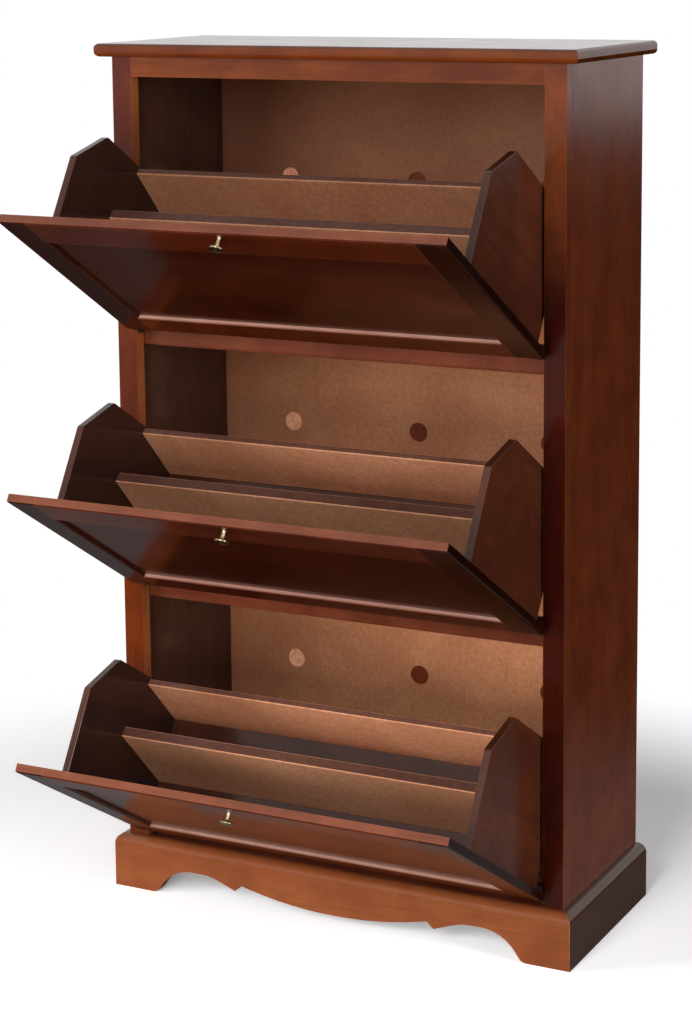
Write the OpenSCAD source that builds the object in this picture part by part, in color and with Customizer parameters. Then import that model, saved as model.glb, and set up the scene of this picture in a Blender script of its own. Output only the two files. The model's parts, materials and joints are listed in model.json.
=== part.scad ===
// Tilt-out shoe cabinet with three flaps, each a framed front with two shoe boards behind it.
// Millimetres, +Z up, front towards -Y, the origin under the middle of the open cabinet.
// The flaps are drawn open, resting on the stops that hold them at open_angle.

/* [Carcass] */
// Height from the floor to the top surface
cabinet_h = 1200; // [1140:5:1290]
// Width across the outer faces of the side panels
carcass_w = 666; // [560:2:800]
// Depth from the face of the stiles to the back edges
carcass_d = 274; // [250:1:330]
// Thickness of the side panels
side_t = 18; // [15:0.5:20]
// Width of the face of a stile
stile_w = 30; // [27:0.5:38]
// Thickness of the stiles and of the top rail
stile_t = 18; // [15:0.5:22]
// Height of the top rail
top_rail_h = 27; // [20:1:45]
// Thickness of the top board
top_t = 18; // [15:0.5:25]
// Overhang of the top board at each side
top_side_overhang = 20; // [10:0.5:35]
// Overhang of the top board at the front
top_front_overhang = 15; // [8:0.5:25]
// Radius of the rounded arrises of the top board
top_edge_r = 6.5; // [2:0.5:7]
// Thickness of the back panel
back_t = 5; // [3:0.5:8]
// Width of the rebate that takes the back panel
back_rebate = 8; // [5:0.5:12]
// How far the back panel lies in from the back edges
back_inset = 1; // [0.5:0.5:4]
// Thickness of the base board
base_t = 16; // [12:0.5:20]
// Gap under the side panels and the stiles
carcass_lift = 12; // [5:1:30]

/* [Divider rails] */
// Thickness of a divider rail
rail_t = 18; // [14:0.5:22]
// Height of a divider rail
rail_h = 38; // [30:1:50]
// Gap between the back of a stile and the front of a rail
rail_setback = 2; // [0:0.5:6]
// How far a rail rises above the foot of the closed flap
rail_rise = 4; // [0:0.5:5]

/* [Vent holes] */
// Diameter of a vent hole
vent_d = 28; // [20:0.5:36]
// Distance between the holes of a row
vent_spacing = 203.5; // [150:0.5:225]
// Height of a row above the foot of the closed flap
vent_up = 181; // [120:1:220]

/* [Plinth] */
// Height of the plinth
plinth_h = 76; // [68:1:100]
// Thickness of the plinth boards
plinth_t = 16; // [14:0.5:20]
// Radius of the rounded top edge of the plinth
plinth_round = 13; // [5:0.5:13]
// Width of a front foot on the floor
foot_w = 68.5; // [60:0.5:80]
// Radius of the inner corner of a foot
foot_round = 12; // [6:0.5:14]
// How far a foot's inner edge slopes in on its way up to the arch
foot_slope = 27; // [22:1:32]
// Radius of the arch beside a foot
shoulder_r = 60; // [30:5:65]
// Distance of the arch's brow from the cusp
brow_run = 40; // [32:1:44]
// Radius of the arch's brow
brow_r = 90; // [40:5:95]
// Highest point of the side arches
arch_top = 38.5; // [36:0.5:41]
// Height of the cusps beside the middle sweep
cusp_z = 23.5; // [20:0.5:27]
// Distance from a foot to the cusp, across the side arch
arch_w = 127.5; // [120:0.5:150]
// Height of the middle sweep at its ends
sweep_end_z = 32.5; // [29:0.5:37]
// Height of the middle sweep at its lowest point
sweep_low_z = 15; // [10:0.5:24]
// Distance between a cusp and the end of the middle sweep
cusp_step = 10.5; // [6:0.5:18]
// Side of a glue block under the base board
glue_block_s = 18; // [12:0.5:19]
// Length of a glue block
glue_block_l = 60; // [30:1:80]

/* [Flap fronts] */
// Thickness of the flap front
door_t = 12; // [11:0.5:16]
// Overlap of the front on each stile
door_side_overlap = 7; // [4:0.5:10]
// Overlap of the top front on the top rail
door_top_overlap = 10; // [4:0.5:14]
// Gap between the closed fronts
door_gap = 12; // [11:0.5:16]
// Gap between the plinth and the lowest closed front
door_foot_gap = 20; // [14:0.5:26]
// Gap between the closed front and the stiles
door_standoff = 1; // [0.5:0.25:3]
// Width of the stiles of the front
frame_stile_w = 41; // [34:0.5:60]
// Height of the top rail of the front
frame_top_h = 57; // [45:0.5:75]
// Height of the bottom rail of the front
frame_bottom_h = 43; // [36:0.5:60]
// Radius of the outer arris of the front
door_edge_r = 3; // [1:0.5:4]
// Depth of the recess down to the panel
recess_d = 4.5; // [4:0.5:5]
// Thickness of the panel
panel_t = 4; // [3:0.5:4.5]
// Depth of the groove that holds the panel, and length of the rails' tenons
groove_d = 8; // [5:0.5:12]
// Shoulder of a tenon at the ends of the front's stiles
tenon_shoulder = 9; // [6:0.5:14]
// Radius of the quarter-round bead round the panel
bead_r = 4; // [3:0.5:4.5]

/* [Flap bodies] */
// Opening angle at which a flap rests on its stops
open_angle = 59; // [48:0.5:62]
// Thickness of the cheeks
cheek_t = 10; // [9:0.5:14]
// Running gap between a cheek and the stile beside it
cheek_gap = 3; // [2.5:0.25:4]
// Depth of a cheek behind the front
cheek_d = 185; // [165:1:190]
// Distance of a cheek's foot above the foot of the front
cheek_foot = 8; // [7.5:0.5:14]
// Distance of a cheek's top edge below the lip
cheek_drop = 95; // [80:1:110]
// Length of the sloping corner along the top edge
corner_u = 56; // [40:1:75]
// Length of the sloping corner down the back edge
corner_v = 57; // [40:1:75]
// Radius at the ends of the sloping corner
corner_r = 6; // [3:1:12]
// Radius at the lower back corner
heel_r = 25; // [8:1:35]
// Lean of the two shoe boards away from the front
board_lean = 14.5; // [8:0.5:18]
// Thickness of the rear shoe board
rear_board_t = 9.5; // [7:0.5:12]
// Height of the rear shoe board
rear_board_h = 97; // [70:1:110]
// Distance of its top edge from the back of the cheeks
rear_board_inset = 2.5; // [1:0.5:10]
// Thickness of the middle shoe board
middle_board_t = 15; // [10:0.5:18]
// Height of the middle shoe board
middle_board_h = 131; // [110:1:150]
// Room between the front and the foot of the middle board
middle_gap = 57; // [46:1:62]
// Radius of the eased edges of the shoe boards
board_edge_r = 2; // [1:0.5:3]
// Thickness of the pocket floor under the shoe boards
pocket_floor_t = 4.5; // [4:0.5:9]
// Side of the square cleats that hold the middle board
cleat_s = 8; // [6:0.5:12]
// Distance of the cleats from the ends of the middle board
cleat_inset = 14; // [10:0.5:30]

/* [Stops and pivots] */
// Diameter of a stop dowel
stop_d = 8; // [6:0.5:10]
// Depth of a stop dowel in its cheek
stop_depth = 8; // [5:0.5:8]
// Distance of a stop dowel from the back edge of the cheek
stop_edge = 11; // [9:0.5:16]
// Gap between a stop dowel and the side panel
stop_end_gap = 3; // [2:0.5:5]
// Gap between a stop dowel and the stile it rests on
stop_rest_gap = 0.2; // [0.1:0.05:0.3]
// Height of the pivot below the foot of the front
pivot_drop = 5; // [4.75:0.25:5.5]
// Diameter of a pivot pin
pin_d = 4; // [3:0.25:5]
// Radial running clearance of pins, screws and dowels in their holes
fit_clear = 0.05; // [0.03:0.01:0.09]
// Thickness of the steel of the pivot plates and brackets
steel_t = 2; // [1.5:0.25:2]
// Radius of the round noses of the pivot plates and brackets
nose_r = 4; // [3.75:0.05:4.3]
// Length of the flange under the front
flange_l = 28; // [18:1:40]
// Length of a bracket's leaf on the stile
leaf_l = 14; // [10:0.5:14]
// Height of a bracket's leaf
leaf_h = 20; // [14:0.5:26]

/* [Knobs] */
// Distance of a knob's axis to the right of the middle
knob_x = 9; // [0:0.5:16]
// Distance of a knob's axis below the lip
knob_drop = 6; // [5.5:0.5:20]
// Length of a knob
knob_l = 18.5; // [15:0.5:24]
// Diameter of the knob's head
knob_head_d = 18.5; // [14:0.5:20]
// Thickness of the knob's head
knob_head_t = 3.5; // [3:0.5:5]
// Diameter of the knob's neck
knob_neck_d = 5.5; // [5:0.5:8]
// Diameter of the knob's foot
knob_foot_d = 8; // [7:0.5:14]
// Diameter of the knob's screw
screw_d = 3; // [2.5:0.25:3.5]
// Depth of the screw in the knob
screw_grip = 9; // [6:0.5:12]
// Diameter of the screw's head
screw_head_d = 7; // [6:0.25:7.5]
// Thickness of the screw's head
screw_head_h = 2; // [1.5:0.25:2.5]
// Depth of the counterbore that the head lies in
screw_sink = 3; // [2.5:0.25:4]

/* [Hidden] */
$fn = 64;

LACQUER = [0.42, 0.20, 0.12];
LACQUER_DARK = [0.30, 0.13, 0.08];
COPPER_WOOD = [0.62, 0.42, 0.31];
BRASS = [0.78, 0.74, 0.62];
STEEL = [0.60, 0.61, 0.63];

// Flap numbers, from the floor up
LOWER = 0;
MIDDLE = 1;
UPPER = 2;
FLAPS = [LOWER, MIDDLE, UPPER];
SIDES = [-1, 1];

// Carcass
half_w = carcass_w / 2;
side_in = half_w - side_t;
stile_in = half_w - stile_w;
top_z = cabinet_h - top_t;
opening_top = top_z - top_rail_h;
back_y = carcass_d - back_inset - back_t;
rail_y = stile_t + rail_setback;
foot_in = half_w + plinth_t - foot_w;
sweep_half_w = foot_in - arch_w - cusp_step;

// Flap fronts: three equal ones share the height between the plinth and the top rail
door_w = 2 * (stile_in + door_side_overlap);
doors_foot = plinth_h + door_foot_gap;
pitch = (opening_top + door_top_overlap + door_gap - doors_foot) / len(FLAPS);
door_h = pitch - door_gap;
function door_foot(i) = doors_foot + i * pitch;

// Pivot, in the middle of the front's thickness
pivot_in = door_t / 2;
pivot_y = -door_standoff - door_t + pivot_in;

// Flap bodies, as depth u behind the face of the front and height v above its foot
cheek_out = stile_in - cheek_gap;
cheek_in = cheek_out - cheek_t;
cheek_back = door_t + cheek_d;
cheek_top = door_h - cheek_drop;
lean_dir = [sin(board_lean), cos(board_lean)];
lean_normal = [cos(board_lean), -sin(board_lean)];
floor_top = cheek_foot + pocket_floor_t;
middle_foot = [door_t + middle_gap, floor_top];
rear_foot_w = rear_board_t / cos(board_lean);
rear_foot = [cheek_back - rear_board_inset - rear_board_t * cos(board_lean) - rear_board_h * tan(board_lean), floor_top];

// Stop dowels, which meet the back of the stiles when the flap is open
stop_r = stop_d / 2;
stop_u = cheek_back - stop_edge;
stop_y = stile_t + stop_rest_gap + stop_r;
stop_v = ((stop_u - pivot_in) * cos(open_angle) - (stop_y - pivot_y)) / sin(open_angle) - pivot_drop;
stop_reach = side_in - stop_end_gap - cheek_out;

// Knob head's rim, the foremost point of the open cabinet
knob_rim_r = knob_head_t / 2;
knob_rim_u = -knob_l + knob_rim_r;
knob_v = door_h - knob_drop;
knob_rim_v = knob_v + knob_head_d / 2 - knob_rim_r;
function open_y(u, v) = pivot_y + (u - pivot_in) * cos(open_angle) - (v + pivot_drop) * sin(open_angle);
front_y = min(open_y(knob_rim_u, knob_rim_v) - knob_rim_r, open_y(0, door_h));
centre_y = -(front_y + carcass_d) / 2;

// The point round which a corner between a, b and c is rounded, and the arc itself
function unit(v) = v / norm(v);
function corner_arc(a, b, c, r, steps = 8) =
    let (
        to_a = unit(a - b),
        to_c = unit(c - b),
        half = acos(to_a * to_c) / 2,
        centre = b + unit(to_a + to_c) * r / sin(half),
        first = (b + to_a * r / tan(half) - centre) / r,
        last = (b + to_c * r / tan(half) - centre) / r,
        turn = acos(first * last)
    )
    [for (k = [0:steps]) centre + r * (
        sin(turn * (1 - k / steps)) * first + sin(turn * k / steps) * last
    ) / sin(turn)];

// Frames of reference
module in_cabinet() {
    translate([0, centre_y, 0]) children();
}

module in_flap(i) {
    translate([0, centre_y + pivot_y, door_foot(i) - pivot_drop])
        rotate([open_angle, 0, 0])
            translate([0, -pivot_in, pivot_drop]) children();
}

module along_x(length, x = 0) {
    translate([x, 0, 0]) rotate([90, 0, 90]) linear_extrude(height = length, center = true) children();
}

module along_x_from(x0, x1) {
    along_x(x1 - x0, (x0 + x1) / 2) children();
}

module along_y_from(y0, y1) {
    translate([0, y1, 0]) rotate([90, 0, 0]) linear_extrude(height = y1 - y0) children();
}

module block(x0, x1, y0, y1, z0, z1) {
    translate([x0, y0, z0]) cube([x1 - x0, y1 - y0, z1 - z0]);
}

// A rectangle whose corners at the low end of the first axis are rounded
module nosed(x0, x1, y0, y1, r) {
    translate([x0 + r, y0]) square([x1 - x0 - r, y1 - y0]);
    translate([x0, y0 + r]) square([r, y1 - y0 - 2 * r]);
    for (y = [y0 + r, y1 - r]) translate([x0 + r, y]) circle(r);
}

// A rectangle with all four corners rounded
module rounded(x0, x1, y0, y1, r) {
    translate([x0 + r, y0]) square([x1 - x0 - 2 * r, y1 - y0]);
    translate([x0, y0 + r]) square([x1 - x0, y1 - y0 - 2 * r]);
    for (x = [x0 + r, x1 - r], y = [y0 + r, y1 - r]) translate([x, y]) circle(r);
}

// Carcass
module top_board() {
    top_half = half_w + top_side_overhang;
    color(LACQUER) in_cabinet() intersection() {
        along_x(2 * top_half) nosed(-top_front_overhang, carcass_d, top_z, cabinet_h, top_edge_r);
        along_y_from(-top_front_overhang, carcass_d)
            rounded(-top_half, top_half, top_z, cabinet_h, top_edge_r);
    }
}

module side_panel(side) {
    color(LACQUER_DARK) in_cabinet() mirror([side < 0 ? 1 : 0, 0, 0]) difference() {
        block(side_in, half_w, stile_t, carcass_d, carcass_lift, top_z);
        block(side_in - 1, side_in + back_rebate, back_y, carcass_d + 1, carcass_lift - 1, top_z + 1);
    }
}

module left_side() side_panel(-1);
module right_side() side_panel(1);

module stile(side) {
    color(LACQUER) in_cabinet() mirror([side < 0 ? 1 : 0, 0, 0])
        block(stile_in, half_w, 0, stile_t, carcass_lift, top_z);
}

module left_stile() stile(-1);
module right_stile() stile(1);

module top_rail() {
    color(LACQUER) in_cabinet() block(-stile_in, stile_in, 0, stile_t, opening_top, top_z);
}

module divider_rail(i) {
    rail_top = door_foot(i) + rail_rise;
    rail_foot = i == LOWER ? plinth_h : rail_top - rail_h;
    color(COPPER_WOOD) in_cabinet()
        block(-side_in, side_in, rail_y, rail_y + rail_t, rail_foot, rail_top);
}

module upper_divider_rail() divider_rail(UPPER);
module lower_divider_rail() divider_rail(MIDDLE);
module bottom_rail() divider_rail(LOWER);

module base_board() {
    color(COPPER_WOOD) in_cabinet() {
        block(-side_in, side_in, stile_t, back_y, plinth_h - base_t, plinth_h);
        block(-stile_in, stile_in, 0, stile_t, plinth_h - base_t, plinth_h);
    }
}

module back_panel() {
    panel_half = side_in + back_rebate;
    color(COPPER_WOOD) in_cabinet() difference() {
        block(-panel_half, panel_half, back_y, back_y + back_t, plinth_h - base_t, top_z);
        for (i = FLAPS, x = [-vent_spacing, 0, vent_spacing])
            translate([x, back_y - 1, door_foot(i) + vent_up])
                rotate([-90, 0, 0]) cylinder(h = back_t + 2, d = vent_d);
    }
}

// Plinth
module plinth_section() {
    square([plinth_t, plinth_h - plinth_round]);
    translate([plinth_round, 0]) square([plinth_t - plinth_round, plinth_h]);
    translate([plinth_round, plinth_h - plinth_round]) circle(plinth_round);
}

// Lower edge of the apron on the right, from the foot to the end of the middle sweep
function apron_edge() =
    let (
        foot = [foot_in, 0],
        outside = foot + [foot_w / 2, 0],
        shoulder = [foot.x - foot_slope, arch_top],
        cusp = [foot_in - arch_w, cusp_z],
        brow = [cusp.x + brow_run, arch_top]
    )
    concat(
        corner_arc(outside, foot, shoulder, foot_round),
        corner_arc(foot, shoulder, brow, shoulder_r),
        corner_arc(shoulder, brow, cusp, brow_r),
        [cusp]
    );

// The middle sweep, an arc that hangs lowest at the middle, from right to left
function sweep_edge(steps = 24) =
    let (
        rise = sweep_end_z - sweep_low_z,
        r = (sweep_half_w * sweep_half_w + rise * rise) / (2 * rise),
        half = asin(sweep_half_w / r)
    )
    [for (k = [0:steps]) let (a = half * (1 - 2 * k / steps)) [r * sin(a), sweep_low_z + r * (1 - cos(a))]];

// The space cut out below the apron, from foot to foot
module apron_cut() {
    right = apron_edge();
    last = len(right) - 1;
    left = [for (k = [0:last]) [-right[last - k].x, right[last - k].y]];
    polygon(concat(
        [[right[0].x, -1]], right, sweep_edge(), left, [[-right[0].x, -1]]
    ));
}

module plinth_front() {
    color(LACQUER) in_cabinet() difference() {
        intersection() {
            along_x(carcass_w + 2 * plinth_t) translate([-plinth_t, 0]) plinth_section();
            linear_extrude(height = plinth_h) polygon([
                [-half_w - plinth_t, -plinth_t], [half_w + plinth_t, -plinth_t], [half_w, 0], [-half_w, 0]
            ]);
        }
        along_y_from(-plinth_t - 1, 1) apron_cut();
    }
}

module plinth_side(side) {
    color(LACQUER_DARK) in_cabinet() mirror([side < 0 ? 1 : 0, 0, 0]) intersection() {
        along_y_from(-plinth_t, carcass_d)
            translate([half_w + plinth_t, 0]) mirror([1, 0]) plinth_section();
        linear_extrude(height = plinth_h) polygon([
            [half_w + plinth_t, -plinth_t], [half_w + plinth_t, carcass_d], [half_w, carcass_d], [half_w, 0]
        ]);
    }
}

module plinth_left() plinth_side(-1);
module plinth_right() plinth_side(1);

// Triangular blocks in the angle below the base board
module glue_block() {
    polygon([[0, 0], [glue_block_s, 0], [0, -glue_block_s]]);
}

module glue_blocks() {
    under = plinth_h - base_t;
    front_x = stile_in - glue_block_l;
    side_y = [stile_t + glue_block_l, carcass_d - glue_block_l];
    color(COPPER_WOOD) in_cabinet() {
        for (x = [-front_x, 0, front_x]) along_x(glue_block_l, x) translate([0, under]) glue_block();
        for (side = SIDES, y = side_y) mirror([side < 0 ? 1 : 0, 0, 0])
            along_y_from(y - glue_block_l / 2, y + glue_block_l / 2)
                translate([side_in, under]) mirror([1, 0]) glue_block();
    }
}

// A bracket's leaf lies on the stile, and its nose carries the pin in front of the stile
module pivot_brackets() {
    leaf_mid = leaf_l / 2 + 1;
    color(STEEL) in_cabinet() for (i = FLAPS, side = SIDES) mirror([side < 0 ? 1 : 0, 0, 0])
        translate([0, 0, door_foot(i) - pivot_drop]) difference() {
            along_x_from(stile_in - steel_t, stile_in) {
                translate([pivot_y, 0]) circle(nose_r);
                translate([pivot_y, -nose_r]) square([leaf_mid - pivot_y, 2 * nose_r]);
                translate([leaf_mid - leaf_l / 2, -leaf_h / 2]) square([leaf_l, leaf_h]);
            }
            along_x_from(stile_in - steel_t - 1, stile_in + 1)
                translate([pivot_y, 0]) circle(pin_d / 2 + fit_clear);
        }
}

// The blank of a front, with its outer arrises rounded
module front_blank() {
    intersection() {
        along_x(door_w) nosed(0, door_t, 0, door_h, door_edge_r);
        linear_extrude(height = door_h) rotate(-90) mirror([1, 0])
            nosed(0, door_t, -door_w / 2, door_w / 2, door_edge_r);
    }
}

// The panel with its tongue, larger than the opening of the frame by the groove all round
module panel_blank() {
    panel_half = door_w / 2 - frame_stile_w + groove_d;
    block(-panel_half, panel_half, recess_d, recess_d + panel_t,
          frame_bottom_h - groove_d, door_h - frame_top_h + groove_d);
}

// Tenons of the two rails in the right stile, in line with the panel's groove
module tenons() {
    root = door_w / 2 - frame_stile_w;
    block(root, root + groove_d, recess_d, recess_d + panel_t, tenon_shoulder, frame_bottom_h - groove_d);
    block(root, root + groove_d, recess_d, recess_d + panel_t,
          door_h - frame_top_h + groove_d, door_h - tenon_shoulder);
}

module front_stiles(i) {
    color(LACQUER) in_flap(i) for (side = SIDES) mirror([side < 0 ? 1 : 0, 0, 0]) difference() {
        intersection() {
            front_blank();
            block(door_w / 2 - frame_stile_w, door_w / 2 + 1, -1, door_t + 1, -1, door_h + 1);
        }
        panel_blank();
        tenons();
    }
}

module front_rails(i) {
    rail_half = door_w / 2 - frame_stile_w;
    color(LACQUER) in_flap(i) difference() {
        union() {
            intersection() {
                front_blank();
                union() {
                    block(-rail_half, rail_half, -1, door_t + 1, -1, frame_bottom_h);
                    block(-rail_half, rail_half, -1, door_t + 1, door_h - frame_top_h, door_h + 1);
                }
            }
            tenons();
            mirror([1, 0, 0]) tenons();
        }
        panel_blank();
        translate([knob_x, -1, knob_v]) rotate([-90, 0, 0]) cylinder(h = door_t + 2, d = screw_d + 2 * fit_clear);
        translate([knob_x, door_t - screw_sink, knob_v])
            rotate([-90, 0, 0]) cylinder(h = screw_sink + 1, d = screw_head_d + 4 * fit_clear);
    }
}

module front_panel(i) {
    color(LACQUER) in_flap(i) panel_blank();
}

module bead_section() {
    intersection() {
        circle(bead_r);
        square(bead_r);
    }
}

module front_bead(i) {
    half = door_w / 2 - frame_stile_w;
    low = frame_bottom_h;
    high = door_h - frame_top_h;
    color(LACQUER) in_flap(i) {
        along_x(2 * half) translate([recess_d, low]) mirror([1, 0]) bead_section();
        along_x(2 * half) translate([recess_d, high]) rotate(180) bead_section();
        for (side = SIDES) mirror([side < 0 ? 1 : 0, 0, 0])
            translate([0, 0, low]) linear_extrude(height = high - low)
                translate([half, recess_d]) rotate(180) bead_section();
    }
}

// Knob, turned about its own axis, with z as the distance from the front
module knob(i) {
    head_foot = knob_l - knob_head_t;
    flare_r = knob_neck_d / 2;
    flare_h = 3;
    color(BRASS) in_flap(i) translate([knob_x, 0, knob_v]) rotate([90, 0, 0]) difference() {
        union() {
            rotate_extrude() polygon([
                [0, 0], [knob_foot_d / 2, 0], [knob_foot_d / 2, 1], [flare_r, flare_h],
                [flare_r, head_foot - flare_h], [knob_head_d / 2 - knob_rim_r, head_foot], [0, head_foot]
            ]);
            rotate_extrude() {
                translate([0, head_foot]) square([knob_head_d / 2 - knob_rim_r, knob_head_t]);
                translate([knob_head_d / 2 - knob_rim_r, head_foot + knob_rim_r])
                    intersection() {
                        circle(knob_rim_r);
                        translate([-1, -knob_rim_r]) square(2 * knob_rim_r);
                    }
            }
        }
        translate([0, 0, -1]) cylinder(h = screw_grip + 2, d = screw_d + 2 * fit_clear);
    }
}

module knob_screw(i) {
    head_r = screw_head_d / 2;
    color(STEEL) in_flap(i) translate([knob_x, door_t - screw_sink, knob_v]) rotate([90, 0, 0]) {
        cylinder(h = door_t - screw_sink + screw_grip, d = screw_d);
        translate([0, 0, -screw_head_h]) rotate_extrude() polygon([
            [0, 0], [head_r - screw_head_h / 2, 0], [head_r, screw_head_h / 2],
            [head_r, screw_head_h], [0, screw_head_h]
        ]);
    }
}

// Cheeks
module cheek_outline() {
    front_foot = [door_t, cheek_foot];
    front_top = [door_t, cheek_top];
    corner_top = [cheek_back - corner_u, cheek_top];
    corner_back = [cheek_back, cheek_top - corner_v];
    heel = [cheek_back, cheek_foot];
    polygon(concat(
        [front_foot, front_top],
        corner_arc(front_top, corner_top, corner_back, corner_r),
        corner_arc(corner_top, corner_back, heel, corner_r),
        corner_arc(corner_back, heel, front_foot, heel_r)
    ));
}

module cheek(i, side) {
    color(LACQUER_DARK) in_flap(i) mirror([side < 0 ? 1 : 0, 0, 0]) difference() {
        along_x_from(cheek_in, cheek_out) cheek_outline();
        translate([cheek_out - stop_depth, stop_u, stop_v])
            rotate([0, 90, 0]) cylinder(h = stop_depth + 1, r = stop_r + fit_clear);
    }
}

// A shoe board stands on the pocket floor and leans away from the front
module leaning_board(i, foot, t, h) {
    a = foot;
    b = foot + h / cos(board_lean) * lean_dir;
    c = b + t * lean_normal;
    d = foot + [t / cos(board_lean), 0];
    color(COPPER_WOOD) in_flap(i) along_x(2 * cheek_in) polygon(concat(
        [a], corner_arc(a, b, c, board_edge_r, 4), corner_arc(b, c, d, board_edge_r, 4), [d]
    ));
}

module rear_board(i) leaning_board(i, rear_foot, rear_board_t, rear_board_h);
module middle_board(i) leaning_board(i, middle_foot, middle_board_t, middle_board_h);

module pocket_floor(i) {
    color(LACQUER_DARK) in_flap(i) along_x(2 * cheek_in)
        translate([door_t, cheek_foot]) square([rear_foot.x + rear_foot_w - door_t, pocket_floor_t]);
}

// Square cleats on the cheeks, along the back of the middle board
module cleats(i) {
    foot = middle_foot + [middle_board_t / cos(board_lean), 0];
    from = foot + cleat_inset * lean_dir;
    to = foot + (middle_board_h - cleat_inset) * lean_dir;
    color(LACQUER_DARK) in_flap(i) for (side = SIDES) mirror([side < 0 ? 1 : 0, 0, 0])
        along_x_from(cheek_in - cleat_s, cheek_in)
            polygon([from, to, to + cleat_s * lean_normal, from + cleat_s * lean_normal]);
}

module stop_dowels(i) {
    color(COPPER_WOOD) in_flap(i) for (side = SIDES) mirror([side < 0 ? 1 : 0, 0, 0])
        translate([cheek_out - stop_depth, stop_u, stop_v])
            rotate([0, 90, 0]) cylinder(h = stop_depth + stop_reach, r = stop_r);
}

// Pivot plate: a flange under the front, an ear beside the bracket and the pin through it
module pivot_plates(i) {
    ear_out = cheek_out - 1;
    ear_in = ear_out - steel_t;
    color(STEEL) in_flap(i) for (side = SIDES) mirror([side < 0 ? 1 : 0, 0, 0]) {
        block(ear_out - flange_l, ear_out, pivot_in - nose_r, pivot_in + nose_r, -steel_t, 0);
        along_x_from(ear_in, ear_out) {
            translate([pivot_in, -pivot_drop]) circle(nose_r);
            translate([pivot_in - nose_r, -pivot_drop]) square([2 * nose_r, pivot_drop - steel_t]);
        }
        translate([ear_in, pivot_in, -pivot_drop])
            rotate([0, 90, 0]) cylinder(h = stile_in - ear_in, d = pin_d);
    }
}

top_board();
left_side();
right_side();
left_stile();
right_stile();
top_rail();
upper_divider_rail();
lower_divider_rail();
bottom_rail();
base_board();
back_panel();
plinth_front();
plinth_left();
plinth_right();
glue_blocks();
pivot_brackets();
front_stiles(UPPER);  // upper_front_stiles
front_rails(UPPER);  // upper_front_rails
front_panel(UPPER);  // upper_front_panel
front_bead(UPPER);  // upper_front_bead
knob(UPPER);  // upper_knob
knob_screw(UPPER);  // upper_knob_screw
cheek(UPPER, -1);  // upper_left_cheek
cheek(UPPER, 1);  // upper_right_cheek
rear_board(UPPER);  // upper_rear_board
middle_board(UPPER);  // upper_middle_board
pocket_floor(UPPER);  // upper_pocket_floor
cleats(UPPER);  // upper_cleats
stop_dowels(UPPER);  // upper_stop_dowels
pivot_plates(UPPER);  // upper_pivot_plates
front_stiles(MIDDLE);  // middle_front_stiles
front_rails(MIDDLE);  // middle_front_rails
front_panel(MIDDLE);  // middle_front_panel
front_bead(MIDDLE);  // middle_front_bead
knob(MIDDLE);  // middle_knob
knob_screw(MIDDLE);  // middle_knob_screw
cheek(MIDDLE, -1);  // middle_left_cheek
cheek(MIDDLE, 1);  // middle_right_cheek
rear_board(MIDDLE);  // middle_rear_board
middle_board(MIDDLE);  // middle_middle_board
pocket_floor(MIDDLE);  // middle_pocket_floor
cleats(MIDDLE);  // middle_cleats
stop_dowels(MIDDLE);  // middle_stop_dowels
pivot_plates(MIDDLE);  // middle_pivot_plates
front_stiles(LOWER);  // lower_front_stiles
front_rails(LOWER);  // lower_front_rails
front_panel(LOWER);  // lower_front_panel
front_bead(LOWER);  // lower_front_bead
knob(LOWER);  // lower_knob
knob_screw(LOWER);  // lower_knob_screw
cheek(LOWER, -1);  // lower_left_cheek
cheek(LOWER, 1);  // lower_right_cheek
rear_board(LOWER);  // lower_rear_board
middle_board(LOWER);  // lower_middle_board
pocket_floor(LOWER);  // lower_pocket_floor
cleats(LOWER);  // lower_cleats
stop_dowels(LOWER);  // lower_stop_dowels
pivot_plates(LOWER);  // lower_pivot_plates
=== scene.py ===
"""Dresses the tilt-out shoe cabinet: its finishes, fittings, studio and camera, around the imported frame.

Metres, +Z up, the front towards -Y. The three flaps stand open at rest, as in the frame.
"""
import json
import logging
import math
from dataclasses import dataclass, field
from enum import Enum
from typing import Callable, ClassVar, Self

import bpy
import numpy as np
from mathutils import Matrix, Vector


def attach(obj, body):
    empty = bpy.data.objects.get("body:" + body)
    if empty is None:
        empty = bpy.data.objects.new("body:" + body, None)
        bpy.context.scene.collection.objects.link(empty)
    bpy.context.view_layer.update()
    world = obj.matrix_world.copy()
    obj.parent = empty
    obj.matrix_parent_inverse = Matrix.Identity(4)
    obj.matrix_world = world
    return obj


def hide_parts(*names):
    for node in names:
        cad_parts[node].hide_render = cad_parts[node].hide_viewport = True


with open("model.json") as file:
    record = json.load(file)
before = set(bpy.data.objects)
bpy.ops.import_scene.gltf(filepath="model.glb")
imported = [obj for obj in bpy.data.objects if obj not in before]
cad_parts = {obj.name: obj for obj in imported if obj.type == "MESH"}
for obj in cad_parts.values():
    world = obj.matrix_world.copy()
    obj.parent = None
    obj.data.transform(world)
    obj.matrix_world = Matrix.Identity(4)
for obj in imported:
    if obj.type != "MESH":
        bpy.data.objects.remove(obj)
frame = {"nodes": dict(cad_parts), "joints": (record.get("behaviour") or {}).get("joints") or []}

log = logging.getLogger("shoe_cabinet")

MM = 0.001
FLAPS = ("lower", "middle", "upper")

Colour = tuple[float, float, float]
Place = tuple[float, float, float]
Point = tuple[float, float]
Material = bpy.types.Material
Mesh = bpy.types.Mesh
Object = bpy.types.Object
Outputs = bpy.types.NodeOutputs
Shader = bpy.types.ShaderNode
Socket = bpy.types.NodeSocket
Tree = bpy.types.ShaderNodeTree

# Turns that lay a fitting, whose head points to +Z, to the front, the back and the floor
TO_FRONT = Matrix.Rotation(math.radians(90.0), 4, "X")
TO_BACK = Matrix.Rotation(math.radians(-90.0), 4, "X")
TO_FLOOR = Matrix.Rotation(math.pi, 4, "X")


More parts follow.
